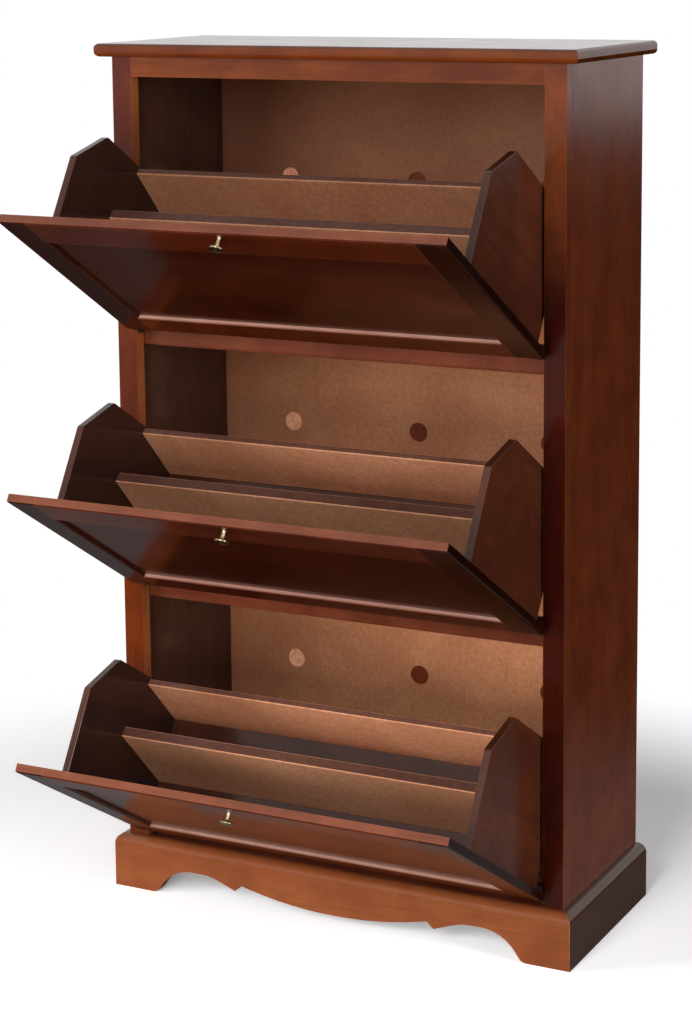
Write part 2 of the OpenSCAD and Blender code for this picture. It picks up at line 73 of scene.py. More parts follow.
def srgb(code: int) -> Colour:
    """The linear colour of a code such as 0x8A4A20.

    Args:
        code: Red, green and blue, eight bits each.

    Returns:
        Linear red, green and blue.
    """
    parts = np.array([code >> 16 & 255, code >> 8 & 255, code & 255]) / 255.0
    linear = np.where(parts <= 0.04045, parts / 12.92, ((parts + 0.055) / 1.055) ** 2.4)
    return tuple(float(part) for part in linear)


def linked(name: str, data: bpy.types.ID) -> Object:
    """Adds an object to the scene.

    Args:
        name: Its name.
        data: Its mesh, light or camera.

    Returns:
        The object, at the origin.
    """
    made = bpy.data.objects.new(name, data)
    bpy.context.scene.collection.objects.link(made)
    return made


class Way(Enum):
    """The way that a board's grain runs in the closed cabinet."""

    ACROSS = (0.0, 0.0, 0.0)
    UP = (0.0, 90.0, 0.0)
    DEEP = (0.0, 0.0, -90.0)


@dataclass(frozen=True)
class Grain:
    """How a piece was cut from its plank.

    Attributes:
        way: The way that the grain runs.
        tilt: Degrees by which the piece is tipped forward at rest.
        plank: Number of the plank, which shifts the figure by NEXT_PLANK.
    """

    NEXT_PLANK: ClassVar[Place] = (0.37, 0.83, 1.31)

    way: Way = Way.ACROSS
    tilt: float = 0.0
    plank: int = 0

    @property
    def turn(self) -> Place:
        """Mapping rotation that lays the grain along X."""
        about_x, about_y, about_z = self.way.value
        return math.radians(about_x - self.tilt), math.radians(about_y), math.radians(about_z)

    @property
    def shift(self) -> Place:
        """Mapping shift that gives each plank its own figure."""
        return tuple(step * self.plank for step in self.NEXT_PLANK)

    @property
    def tag(self) -> str:
        """Short name for the material."""
        return f"{self.way.name.lower()}_{'tipped' if self.tilt else 'level'}_{self.plank}"


class Graph:
    """A shader tree, with short ways to add nodes to it."""

    def __init__(self, tree: Tree) -> None:
        """Keeps the tree."""
        self.tree = tree

    @classmethod
    def cleared(cls, holder: Material | bpy.types.World) -> Self:
        """The emptied tree of a material or a world."""
        holder.use_nodes = True
        holder.node_tree.nodes.clear()
        return cls(holder.node_tree)

    def node(self, kind: str, **settings: object) -> Shader:
        """Adds a node.

        Args:
            kind: The node's type, without its ShaderNode prefix.
            settings: Properties to set on it.

        Returns:
            The new node.
        """
        made = self.tree.nodes.new("ShaderNode" + kind)
        for name, value in settings.items():
            setattr(made, name, value)
        return made

    def feed(self, socket: Socket, value: object) -> None:
        """Links a socket into another, or sets its constant.

        Args:
            socket: The input.
            value: A socket, a number, or a tuple of three for a colour or vector.
        """
        if isinstance(value, Socket):
            self.tree.links.new(value, socket)
        elif socket.type == "RGBA":
            socket.default_value = (*value, 1.0)
        else:
            socket.default_value = value

    def supply(self, made: Shader, *values: object, **named: object) -> Shader:
        """Feeds several inputs of a node.

        Args:
            made: The node.
            values: Its first inputs, in their order.
            named: Other inputs by name, with underscores for the spaces.

        Returns:
            The node.
        """
        for socket, value in zip(made.inputs, values):
            self.feed(socket, value)
        for name, value in named.items():
            self.feed(made.inputs[name.replace("_", " ").title()], value)
        return made

    def math(self, operation: str, *values: object, clamp: bool = False) -> Socket:
        """The result of a Math node on sockets or numbers, which clamp holds between 0 and 1."""
        made = self.node("Math", operation=operation, use_clamp=clamp)
        return self.supply(made, *values).outputs[0]

    def times(self, first: object, second: object) -> Socket:
        """The product of two values, sockets or numbers."""
        return self.math("MULTIPLY", first, second)

    def vector_math(self, operation: str, *values: object) -> Socket:
        """The number of a dot product or a length, or the vector of another Vector Math operation."""
        made = self.supply(self.node("VectorMath", operation=operation), *values)
        return made.outputs["Value" if operation in ("DOT_PRODUCT", "LENGTH") else "Vector"]

    def drawn(self, vector: Socket, share: float) -> Socket:
        """Coordinates whose X runs slower by a share, which draws a texture out along X."""
        return self.vector_math("MULTIPLY", vector, (share, 1.0, 1.0))

    def step(self, value: object, low: float, high: float, start: float = 0.0, end: float = 1.0) -> Socket:
        """Smoothly maps a range of a value onto another.

        Args:
            value: The input socket.
            low: Value at which the step starts.
            high: Value at which it ends.
            start: Result at the start.
            end: Result at the end.

        Returns:
            The mapped value.
        """
        made = self.node("MapRange", interpolation_type="SMOOTHSTEP")
        self.supply(made, value=value, from_min=low, from_max=high, to_min=start, to_max=end)
        return made.outputs["Result"]

    def place(self) -> Socket:
        """A point's place in the frame at rest, for pieces that stand at the origin."""
        return self.node("TexCoord").outputs["Object"]

    def along(self, axis: str, ends: Point, end: float = 1.0) -> Socket:
        """A smooth step between two places on an axis of the frame, from 0 to its value at the end."""
        parts = self.supply(self.node("SeparateXYZ"), self.place())
        return self.step(parts.outputs[axis], *ends, 0.0, end)

    def blend(self, share: object, first: object, second: object) -> Socket:
        """Mixes two colours.

        Args:
            share: How much of the second colour there is.
            first: The first colour.
            second: The second colour.

        Returns:
            The mixed colour.
        """
        made = self.node("Mix", data_type="RGBA")
        self.feed(made.inputs["Factor"], share)
        colours = [socket for socket in made.inputs if socket.type == "RGBA"]
        self.feed(colours[0], first)
        self.feed(colours[1], second)
        return next(socket for socket in made.outputs if socket.type == "RGBA")

    def noise(
        self, vector: Socket, scale: object, detail: float = 2.0, roughness: float = 0.5, warp: float = 0.0
    ) -> Socket:
        """Adds a Noise texture.

        Args:
            vector: Where it is read.
            scale: Its scale, in cycles a metre.
            detail: Its octaves.
            roughness: How much the fine octaves count.
            warp: Its distortion.

        Returns:
            Its value.
        """
        made = self.node("TexNoise")
        self.supply(made, vector=vector, scale=scale, detail=detail, roughness=roughness, distortion=warp)
        return made.outputs["Fac"]

    def group(self, shared: type["SharedGroup"], **values: object) -> Outputs:
        """The outputs of a shared group whose inputs are fed by name."""
        return self.supply(self.node("Group", node_tree=shared.tree()), **values).outputs


class SharedGroup:
    """A node group with named inputs and outputs that several finishes use.

    Attributes:
        title: The group's name.
        scalars: Its numbers, beside the vector that every group takes.
        outputs: Its outputs, which are numbers too.
    """

    title: ClassVar[str] = ""
    scalars: ClassVar[tuple[str, ...]] = ()
    outputs: ClassVar[tuple[str, ...]] = ()

    @classmethod
    def tree(cls) -> Tree:
        """The group's tree, built when it is first asked for."""
        found = bpy.data.node_groups.get(cls.title)
        if found:
            return found
        tree = bpy.data.node_groups.new(cls.title, "ShaderNodeTree")
        tree.interface.new_socket("Vector", in_out="INPUT", socket_type="NodeSocketVector")
        for name in cls.scalars:
            tree.interface.new_socket(name, in_out="INPUT", socket_type="NodeSocketFloat")
        for name in cls.outputs:
            tree.interface.new_socket(name, in_out="OUTPUT", socket_type="NodeSocketFloat")
        given = tree.nodes.new("NodeGroupInput").outputs
        results = cls.fill(Graph(tree), given)
        out = tree.nodes.new("NodeGroupOutput")
        for name, socket in zip(cls.outputs, results, strict=True):
            tree.links.new(socket, out.inputs[name])
        return tree

    @staticmethod
    def fill(graph: Graph, given: Outputs) -> tuple[Socket, ...]:
        """Adds the group's nodes between its inputs and the sockets that it returns, one for each output."""
        raise NotImplementedError


class WoodFigure(SharedGroup):
    """Figure of a plank whose grain runs along the vector's X: broad bands, fibres and open pores."""

    title = "wood_figure"
    scalars = ("Band Scale", "Fibre Scale", "Pore Share")
    outputs = ("Bands", "Fibres", "Pores", "Height")

    @staticmethod
    def fill(graph: Graph, given: Outputs) -> tuple[Socket, ...]:
        """Bands are noise drawn out along X, and fibres and pores finer noise drawn out further."""
        broad = graph.drawn(given["Vector"], 0.12)
        fine = graph.drawn(given["Vector"], 0.025)
        short = graph.drawn(given["Vector"], 0.06)
        cloud = graph.noise(broad, given["Band Scale"], detail=3.0, roughness=0.55, warp=0.6)
        rings = graph.noise(broad, graph.times(given["Band Scale"], 5.0), roughness=0.6, warp=0.3)
        bands = graph.math("ADD", graph.times(cloud, 0.6), graph.times(rings, 0.4))
        fibres = graph.noise(fine, given["Fibre Scale"], roughness=0.6)
        dashes = graph.noise(short, graph.times(given["Fibre Scale"], 2.6), detail=1.0)
        edge = graph.math("SUBTRACT", 0.78, graph.times(given["Pore Share"], 0.2))
        pores = graph.math("MULTIPLY", graph.math("SUBTRACT", dashes, edge), 14.0, clamp=True)
        rise = graph.math("SUBTRACT", graph.times(fibres, 0.5), pores)
        return graph.step(bands, 0.34, 0.66), fibres, pores, rise


class ArrisWear(SharedGroup):
    """Mask of the arrises where the finish is rubbed thin, broken up by noise."""

    title = "arris_wear"
    scalars = ("Reach", "Break Up")
    outputs = ("Mask",)

    @staticmethod
    def fill(graph: Graph, given: Outputs) -> tuple[Socket, ...]:
        """The normal of the rounded surface leaves the true one only near an edge."""
        rounded = graph.supply(graph.node("Bevel", samples=3), radius=given["Reach"])
        true = graph.node("NewGeometry").outputs["Normal"]
        agreement = graph.vector_math("DOT_PRODUCT", rounded.outputs["Normal"], true)
        patch = graph.noise(given["Vector"], given["Break Up"], detail=3.0, roughness=0.6)
        return (graph.times(graph.step(agreement, 0.995, 0.8), graph.step(patch, 0.38, 0.62, 0.35)),)


class LacquerSkin(SharedGroup):
    """Unevenness of a sprayed or wiped coat: slow ripples, and smudges that dull it."""

    title = "lacquer_skin"
    scalars = ("Gloss", "Smudge")
    outputs = ("Roughness", "Height", "Cloud")

    @staticmethod
    def fill(graph: Graph, given: Outputs) -> tuple[Socket, ...]:
        """Clouds 80 mm across carry the smudges, and ripples 5 mm across the height."""
        cloud = graph.noise(given["Vector"], 12.0, detail=4.0, roughness=0.6, warp=0.4)
        wipe = graph.noise(graph.drawn(given["Vector"], 0.3), 55.0, detail=3.0, roughness=0.65)
        parts = (graph.math("SUBTRACT", part, 0.5) for part in (wipe, cloud))
        uneven, slow = (graph.times(part, given["Smudge"]) for part in parts)
        rough = graph.math("ADD", given["Gloss"], graph.math("ADD", uneven, slow), clamp=True)
        return rough, graph.noise(given["Vector"], 210.0, detail=1.0), graph.step(cloud, 0.3, 0.7)


class Mottle(SharedGroup):
    """Fine mottling of stained fibreboard, 2 to 5 mm across, over slow clouds."""

    title = "mottle"
    scalars = ("Spot Scale",)
    outputs = ("Spots", "Clouds", "Height")

    @staticmethod
    def fill(graph: Graph, given: Outputs) -> tuple[Socket, ...]:
        """Two noises of different scale make the spots."""
        coarse = graph.noise(given["Vector"], given["Spot Scale"], detail=3.0, roughness=0.65)
        fine = graph.noise(given["Vector"], graph.times(given["Spot Scale"], 3.1), roughness=0.6)
        spots = graph.math("ADD", graph.times(coarse, 0.65), graph.times(fine, 0.35))
        clouds = graph.noise(given["Vector"], 9.0, detail=3.0, roughness=0.6, warp=0.5)
        return graph.step(spots, 0.36, 0.64), graph.step(clouds, 0.3, 0.7), spots


class MetalWear(SharedGroup):
    """Tarnish in patches and fine scratches across a metal fitting."""

    title = "metal_wear"
    scalars = ("Patch Scale", "Scratch Scale")
    outputs = ("Tarnish", "Scratches")

    @staticmethod
    def fill(graph: Graph, given: Outputs) -> tuple[Socket, ...]:
        """Scratches are noise drawn out along X."""
        patch = graph.noise(given["Vector"], given["Patch Scale"], detail=4.0, roughness=0.65)
        scratch = graph.noise(graph.drawn(given["Vector"], 0.04), given["Scratch Scale"], roughness=0.7)
        return graph.step(patch, 0.42, 0.68), graph.step(scratch, 0.45, 0.75)


@dataclass(frozen=True)
class Finish:
    """What every finish has: a name, the record's slot, and materials made once for each grain.

    Attributes:
        name: The finish's name.
        slot: The record's material slot that it belongs to. Not used.
    """

    name: str
    slot: str

    @classmethod
    def toned(cls, name: str, slot: str, *codes: int, **settings: float) -> Self:
        """A finish whose colours are given as codes, in the order of its fields."""
        return cls(name, slot, *map(srgb, codes), **settings)

    def material(self, grain: Grain = Grain()) -> Material:
        """The finish on a piece cut with this grain.

        Args:
            grain: How the piece lies in its plank.

        Returns:
            The material, made when it is first asked for.
        """
        title = f"{self.name}_{grain.tag}"
        found = bpy.data.materials.get(title)
        if found:
            return found
        made = bpy.data.materials.new(title)
        graph = Graph.cleared(made)
        mapping = graph.node("Mapping")
        graph.supply(mapping, vector=graph.place(), rotation=grain.turn, location=grain.shift)
        shader = graph.node("BsdfPrincipled")
        self.paint(graph, mapping.outputs["Vector"], shader)
        graph.supply(graph.node("OutputMaterial"), surface=shader.outputs["BSDF"])
        return made

    def paint(self, graph: Graph, place: Socket, shader: Shader) -> None:
        """Feeds the Principled BSDF, where place gives coordinates with the grain along X."""
        raise NotImplementedError

    @staticmethod
    def lay(
        graph: Graph, shader: Shader, colour: Socket, rough: Socket, height: Socket, relief: float
    ) -> None:
        """Feeds colour, roughness and a bump in which a height of 1 stands for the relief, in metres."""
        bump = graph.supply(graph.node("Bump"), height=height, strength=1.0, distance=relief)
        graph.supply(shader, base_color=colour, roughness=rough, normal=bump.outputs["Normal"])


@dataclass(frozen=True)
class Stained(Finish):
    """Wood or board under a stained coat that is worn at its arrises.

    Attributes:
        deep: Colour of the dark bands, spots and pores.
        body: Main colour.
        light: Colour of the light bands and clouds.
        rubbed: Colour of the worn arrises.
    """

    deep: Colour
    body: Colour
    light: Colour
    rubbed: Colour


@dataclass(frozen=True)
class Lacquer(Stained):
    """Stained wood under a gloss lacquer, rubbed lighter at its arrises.

    CLOUDED, FIBRED, PORED and WORN are how strongly clouds, fibres, pores and rubbed arrises show.
    LIT_TOP_SPAN is the height over which painted light turns the top of a piece lighter, RIPPLE
    the figure's share of the bump, and RELIEF the bump's depth.

    Attributes:
        gloss: Mean roughness.
        faded: How far painted light turns the top towards the colour of the arrises.
    """

    CLOUDED: ClassVar[float] = 0.4
    FIBRED: ClassVar[float] = 0.3
    PORED: ClassVar[float] = 0.25
    WORN: ClassVar[float] = 0.6
    LIT_TOP_SPAN: ClassVar[Point] = (0.86, 1.02)
    SPECULAR: ClassVar[float] = 0.35
    RIPPLE: ClassVar[float] = 0.35
    RELIEF: ClassVar[float] = 0.02 * MM

    gloss: float = 0.17
    faded: float = 0.0

    def paint(self, graph: Graph, place: Socket, shader: Shader) -> None:
        """Bands between the three colours, dark pores, clouds and rubbed arrises."""
        figure = graph.group(WoodFigure, vector=place, band_scale=10.0, fibre_scale=420.0, pore_share=0.35)
        skin = graph.group(LacquerSkin, vector=place, gloss=self.gloss, smudge=0.10)
        wear = graph.group(ArrisWear, vector=place, reach=1.6 * MM, break_up=45.0)
        ground = graph.blend(figure["Bands"], self.body, self.light)
        # Painted light: the top of the piece turns towards the arrises' colour.
        if self.faded:
            ground = graph.blend(graph.along("Z", self.LIT_TOP_SPAN, self.faded), ground, self.rubbed)
        clouded = graph.blend(graph.times(skin["Cloud"], self.CLOUDED), ground, self.deep)
        fibred = graph.blend(graph.step(figure["Fibres"], 0.5, 0.75, 0.0, self.FIBRED), clouded, self.deep)
        pored = graph.blend(graph.times(figure["Pores"], self.PORED), fibred, self.deep)
        worn = graph.blend(graph.times(wear["Mask"], self.WORN), pored, self.rubbed)
        height = graph.math("ADD", graph.times(figure["Height"], self.RIPPLE), skin["Height"])
        self.lay(graph, shader, worn, skin["Roughness"], height, self.RELIEF)
        shader.inputs["Specular IOR Level"].default_value = self.SPECULAR


@dataclass(frozen=True)
class StainedBoard(Stained):
    """Stained fibreboard with a mottled, half-matt face.

    FIBRED and WORN are how strongly fibres and rubbed arrises show, HIGH and LEFT the heights and
    places over which painted shade darkens the board, and RELIEF the bump's depth.

    Attributes:
        gloss: Mean roughness.
        spots: Share of the spots.
        stain: How much painted shade darkens the board towards the top of the cabinet and its left side.
    """

    SPOT_SCALE: ClassVar[float] = 150.0
    FIBRED: ClassVar[float] = 0.12
    WORN: ClassVar[float] = 0.08
    HIGH: ClassVar[Point] = (0.5, 1.2)
    LEFT: ClassVar[Point] = (-0.08, -0.33)
    SPECULAR: ClassVar[float] = 0.3
    RELIEF: ClassVar[float] = 0.08 * MM

    gloss: float = 0.45
    spots: float = 0.45
    stain: float = 0.0

    def paint(self, graph: Graph, place: Socket, shader: Shader) -> None:
        """Spots over clouds, with faint drawn-out fibres and rubbed arrises."""
        mottle = graph.group(Mottle, vector=place, spot_scale=self.SPOT_SCALE)
        figure = graph.group(WoodFigure, vector=place, band_scale=7.0, fibre_scale=260.0, pore_share=0.1)
        skin = graph.group(LacquerSkin, vector=place, gloss=self.gloss, smudge=0.12)
        wear = graph.group(ArrisWear, vector=place, reach=1.4 * MM, break_up=70.0)
        ground = graph.blend(mottle["Clouds"], self.body, self.light)
        spotted = graph.blend(graph.times(mottle["Spots"], self.spots), ground, self.deep)
        # Painted shade: darker towards the top of the cabinet and its left side.
        if self.stain:
            high, left = graph.along("Z", self.HIGH, self.stain), graph.along("X", self.LEFT, self.stain)
            spotted = graph.blend(graph.math("ADD", high, left, clamp=True), spotted, self.deep)
        fibred = graph.blend(graph.step(figure["Fibres"], 0.5, 0.85, 0.0, self.FIBRED), spotted, self.deep)
        worn = graph.blend(graph.times(wear["Mask"], self.WORN), fibred, self.rubbed)
        self.lay(graph, shader, worn, skin["Roughness"], mottle["Height"], self.RELIEF)
        shader.inputs["Specular IOR Level"].default_value = self.SPECULAR


@dataclass(frozen=True)
class BareWood(Finish):
    """Planed wood with no finish.

    Attributes:
        deep: Colour of the pores and dark bands.
        body: Main colour.
        light: Colour of the light bands.
    """

    RELIEF: ClassVar[float] = 0.12 * MM

    deep: Colour
    body: Colour
    light: Colour

    def paint(self, graph: Graph, place: Socket, shader: Shader) -> None:
        """Bands, fibres and pores, with a furry surface."""
        figure = graph.group(WoodFigure, vector=place, band_scale=16.0, fibre_scale=700.0, pore_share=0.5)
        ground = graph.blend(figure["Bands"], self.body, self.light)
        fibred = graph.blend(graph.step(figure["Fibres"], 0.4, 0.8, 0.0, 0.5), ground, self.deep)
        pored = graph.blend(graph.times(figure["Pores"], 0.6), fibred, self.deep)
        rough = graph.step(figure["Fibres"], 0.2, 0.8, 0.6, 0.85)
        self.lay(graph, shader, pored, rough, figure["Height"], self.RELIEF)


@dataclass(frozen=True)
class Metal(Finish):
    """A metal fitting with tarnish and fine scratches.

    Attributes:
        bright: Colour of the clean metal.
        dull: Colour of the tarnish.
        gloss: Roughness of the clean metal.
    """

    RELIEF: ClassVar[float] = 0.01 * MM

    bright: Colour
    dull: Colour
    gloss: float

    def paint(self, graph: Graph, place: Socket, shader: Shader) -> None:
        """Tarnish darkens and dulls, scratches brighten."""
        wear = graph.group(MetalWear, vector=place, patch_scale=240.0, scratch_scale=1500.0)
        arris = graph.group(ArrisWear, vector=place, reach=0.6 * MM, break_up=300.0)
        tarnished = graph.blend(graph.times(wear["Tarnish"], 0.6), self.bright, self.dull)
        rubbed = graph.blend(graph.times(arris["Mask"], 0.7), tarnished, self.bright)
        dulled = graph.math("ADD", self.gloss, graph.times(wear["Tarnish"], 0.2))
        rough = graph.math("ADD", dulled, graph.times(wear["Scratches"], 0.08))
        self.lay(graph, shader, rubbed, rough, wear["Scratches"], self.RELIEF)
        shader.inputs["Metallic"].default_value = 1.0


FRAME_LACQUER = Lacquer.toned("frame_lacquer", "lacquer", 0x2B0903, 0x4E1C0D, 0x61280C, 0x8A4A30)
# Top board and top rail: lighter than the frame lacquer for painted light.
LIT_HEAD_LACQUER = Lacquer.toned("head_lacquer", "lacquer", 0x391207, 0x59250D, 0x71350E, 0x8A4A30)
# Left stile's +X face: lighter than the frame lacquer for a painted reflection.
LIT_STILE_EDGE = Lacquer.toned("pale_edge", "lacquer", 0x6A2E14, 0xA85C30, 0xB86C3A, 0xC07848)
# Right stile: darker than the frame lacquer for painted shade from the open flaps, its top lightened by painted
# light.
SHADED_POST_LACQUER = Lacquer.toned("post_lacquer", "lacquer", 0x130200, 0x2E0A04, 0x380F05, 0x8A4420, faded=0.6)
RAIL_LACQUER = Lacquer.toned("rail_lacquer", "shoe_board", 0x2A0B05, 0x5A2A1A, 0x663220, 0x8A5A48)
# Plinth front: lighter than the frame lacquer for painted light.
LIT_PLINTH_LACQUER = Lacquer.toned("plinth_lacquer", "lacquer", 0x542613, 0x7A4023, 0x864C29, 0xB07850)
# Flap fronts, panels, stiles and rails: darker than the frame lacquer for painted shade, as they face the
# floor.
SHADED_DOOR_LACQUER = Lacquer.toned("door_lacquer", "lacquer", 0x140401, 0x2C0C04, 0x381206, 0x8A5040)
SHADED_DOOR_STILE = Lacquer.toned("door_stile", "lacquer", 0x0E0301, 0x200903, 0x2A0D04, 0x7A4434)
SHADED_DOOR_RAIL = Lacquer.toned("door_rail", "lacquer", 0x200702, 0x3E1407, 0x4C1C0A, 0x8A5040)
# Upper edges of the flap fronts: lighter for a painted highlight.
LIP_HIGHLIGHT = Lacquer.toned("lip_lacquer", "lacquer", 0x441A0C, 0x663422, 0x764028, 0xA06448)
# Upward faces of the fronts' bead: lighter for a painted highlight.
BEAD_HIGHLIGHT = Lacquer.toned("bead_lacquer", "lacquer", 0x6B4237, 0x896154, 0x967063, 0xC8A090)
SIDE_LACQUER = Lacquer.toned("side_lacquer", "dark_lacquer", 0x401A0F, 0x71321B, 0x7D3B21, 0x8A4630)
CHEEK_LACQUER = Lacquer.toned("cheek_lacquer", "dark_lacquer", 0x230E09, 0x432014, 0x4C2717, 0x6A3828)
# Left side's inner face: darker for painted shade.
SHADED_LACQUER = Lacquer.toned("shaded_lacquer", "dark_lacquer", 0x2A1A14, 0x57382B, 0x604034, 0x6A4A3C)
# The cheeks' +X faces: the left cheek's darker for painted shade, the right cheek's lighter for painted light.
SHADED_CHEEK_FACE = Lacquer.toned("inner_lacquer", "dark_lacquer", 0x1C0E0C, 0x361D19, 0x3E231E, 0x543028)
LIT_CHEEK_FACE = Lacquer.toned("outer_lacquer", "dark_lacquer", 0x34170F, 0x5E2D1C, 0x6A3622, 0x7A4430)
SHOE_BOARD = StainedBoard.toned("shoe_board", "shoe_board", 0x9B5F45, 0xCA8C66, 0xD99C76, 0xC89878)
# Middle shoe boards: lighter than the rear ones for painted light.
LIT_MIDDLE_BOARD = StainedBoard.toned("middle_board", "shoe_board", 0xB36F51, 0xE8A278, 0xF5B389, 0xC89878)
# Upper edges of the shoe boards: darker for painted shade.
SHADED_BOARD_EDGE = StainedBoard.toned("board_edge", "shoe_board", 0x3A1E16, 0x5E3A2E, 0x6C4638, 0x7A5446)
# Back panel: painted shade darkens it towards the top of the cabinet and its left side.
BACK_BOARD = StainedBoard.toned(
    "back_board", "back_board", 0x643620, 0xBC7B57, 0xCF8D65, 0xB8845C, gloss=0.55, spots=0.3, stain=0.6
)
# Vent covers stand in for what shows through the vents: painted light on the left, painted shade in the others.
LIT_VENT = StainedBoard.toned("lit_vent", "back_board", 0xAD6444, 0xFFAB86, 0xFFB890, 0xF0B090)
SHADED_VENT = StainedBoard.toned("dim_vent", "back_board", 0x4A1C0C, 0x743418, 0x7C3C1E, 0x7C3C1E)
BARE_BEECH = BareWood.toned("bare_beech", "raw_wood", 0x9C7450, 0xC8A078, 0xD8B48C)
AGED_BRASS = Metal.toned("aged_brass", "knob_brass", 0xB4A07C, 0x60503A, gloss=0.22)
DARK_STEEL = Metal.toned("dark_steel", "steel", 0x6E625A, 0x3E3630, gloss=0.38)


@dataclass(frozen=True)
class Turned:
    """A closed turned surface.

    Point (i, k) lies at (r_i cos t, r_i sin t, h_i), with t = 2 pi k / steps. The profile starts and
    ends on the axis, where the surface closes in a pole, and runs from the seat to the head. All its
    sizes are in millimetres. Edges sharper than CREASE degrees stay sharp.

    Attributes:
        profile: Radius and height of each point.
        steps: Number of steps round the axis.
    """

    CREASE: ClassVar[float] = 40.0

    profile: tuple[Point, ...]
    steps: int = 48

    def rings(self) -> np.ndarray:
        """Points of the rings between the two poles.

        Returns:
            An array of ring by step by coordinate.
        """
        radius, height = np.array(self.profile[1:-1]).T
        turn = 2.0 * np.pi * np.arange(self.steps) / self.steps
        across = radius[:, None] * np.cos(turn)
        along = radius[:, None] * np.sin(turn)
        return np.stack([across, along, np.repeat(height[:, None], self.steps, axis=1)], axis=-1)

    def poles(self) -> Point:
        """Heights of the seat's pole and the head's."""
        return self.profile[0][1], self.profile[-1][1]

    def surface(self) -> tuple[np.ndarray, list[tuple[int, ...]], np.ndarray]:
        """The closed surface, with quads between the rings and triangles at the poles.

        Returns:
            Its points, its faces, and for each point its turn and its distance along the profile, in metres.
        """
        rings = self.rings()
        seat, head = self.poles()
        points = np.concatenate([rings.reshape(-1, 3), [[0.0, 0.0, seat], [0.0, 0.0, head]]])
        count = len(rings)
        first = np.arange(self.steps)
        after = (first + 1) % self.steps
        base = self.steps * np.arange(count - 1)[:, None]
        above = base + self.steps
        quads = np.stack([base + first, base + after, above + after, above + first], axis=-1)
        low = np.stack([np.full(self.steps, count * self.steps), after, first], axis=-1)
        last = self.steps * (count - 1)
        high = np.stack([np.full(self.steps, count * self.steps + 1), last + first, last + after], axis=-1)
        faces = [tuple(face) for part in (quads.reshape(-1, 4), low, high) for face in part.tolist()]
        lengths = np.linalg.norm(np.diff(np.array(self.profile), axis=0), axis=1)
        run = np.concatenate([[0.0], np.cumsum(lengths)]) * MM
        turns = np.tile(first / self.steps, count)
        runs = np.repeat(run[1:-1], self.steps)
        marks = np.concatenate([np.stack([turns, runs], axis=-1), [[0.0, 0.0], [0.0, run[-1]]]])
        return points * MM, faces, marks

    def piece(self, name: str, places: list[Matrix]) -> Object:
        """One object with a copy of the surface at each place.

        Args:
            name: The object's name.
            places: Where each copy stands, from its own coordinates to the frame's.

        Returns:
            The object, at the origin, with a UV map of turn and distance.
        """
        points, faces, marks = self.surface()
        whole = np.concatenate([points, np.ones((len(points), 1))], axis=1)
        placed = np.concatenate([(whole @ np.array(place).T)[:, :3] for place in places])
        starts = [number * len(points) for number in range(len(places))]
        shifted = [tuple(corner + start for corner in face) for start in starts for face in faces]
        mesh = bpy.data.meshes.new(name)
        mesh.from_pydata(placed, [], shifted)
        corners = np.empty(len(mesh.loops), dtype=np.int32)
        mesh.loops.foreach_get("vertex_index", corners)
        layer = mesh.uv_layers.new(name="turned")
        layer.data.foreach_set("uv", marks[corners % len(points)].astype(np.float32).ravel())
        mesh.shade_smooth()
        mesh.set_sharp_from_angle(angle=math.radians(self.CREASE))
        return linked(name, mesh)


@dataclass(frozen=True, kw_only=True)
class CrossHead(Turned):
    """A turned screw whose head has a cross recess.

    Over the head, the height h(r) of the profile sinks by depth * max(bar(x, y), bar(y, x)), where
    bar(p, q) is 1 for |p| < arm and |q| < half_slot and falls to 0 over SOFT.

    Attributes:
        top: Height above which the surface belongs to the head's face.
        arm: Half length of the cross.
        half_slot: Half width of its slots.
        depth: Its depth.
    """

    SOFT: ClassVar[float] = 0.3

    top: float
    arm: float
    half_slot: float
    depth: float

    def fall(self, value: np.ndarray, edge: float) -> np.ndarray:
        """1 below the edge, falling to 0 just past it."""
        return np.clip((edge + self.SOFT - np.abs(value)) / self.SOFT, 0.0, 1.0)

    def rings(self) -> np.ndarray:
        """Points of the rings, with the cross sunk into the head's face."""
        points = Turned.rings(self)
        x, y, height = points[..., 0], points[..., 1], points[..., 2]
        level = self.fall(x, self.arm) * self.fall(y, self.half_slot)
        upright = self.fall(y, self.arm) * self.fall(x, self.half_slot)
        sunk = height - self.depth * np.maximum(level, upright)
        points[..., 2] = np.where(height >= self.top, sunk, height)
        return points

    def poles(self) -> Point:
        """Heights of the tip's pole and of the cross's middle."""
        seat, head = Turned.poles(self)
        return seat, head - self.depth


def arc(centre: Point, radius: float, start: float, stop: float, count: int = 7) -> list[Point]:
    """Points centre + radius (cos a, sin a) of a profile, for even steps of a, given in degrees."""
    turns = np.radians(np.linspace(start, stop, count))
    return [(centre[0] + radius * math.cos(turn), centre[1] + radius * math.sin(turn)) for turn in turns]


def domed(radius: float, low: float, high: float, count: int = 14) -> list[Point]:
    """Points (r, low + (high - low) (1 - (r / radius)^2)) of a dome, for even steps of r from rim to pole."""
    shares = np.linspace(1.0, 0.0, count).tolist()
    return [(radius * share, low + (high - low) * (1.0 - share * share)) for share in shares]


def countersunk(length: float) -> CrossHead:
    """A countersunk screw with a slightly raised head, whose face starts at height 0.

    Args:
        length: Length below the face.

    Returns:
        The screw.
    """
    head = 2.1
    shank = 1.1
    rise = 0.3
    cone = [(0.0, -length), (shank, -length), (shank, shank - head), (head, 0.0)]
    face = domed(head * 0.985, 0.05, rise)
    cross = {"arm": head * 0.55, "half_slot": head * 0.13, "depth": head * 0.28}
    return CrossHead(tuple(cone + face), steps=40, top=0.04, **cross)


def face_normals(mesh: Mesh) -> np.ndarray:
    """The normals of a mesh's faces, one row for each."""
    normals = np.empty(len(mesh.polygons) * 3, dtype=np.float32)
    mesh.polygons.foreach_get("normal", normals)
    return normals.reshape(-1, 3)


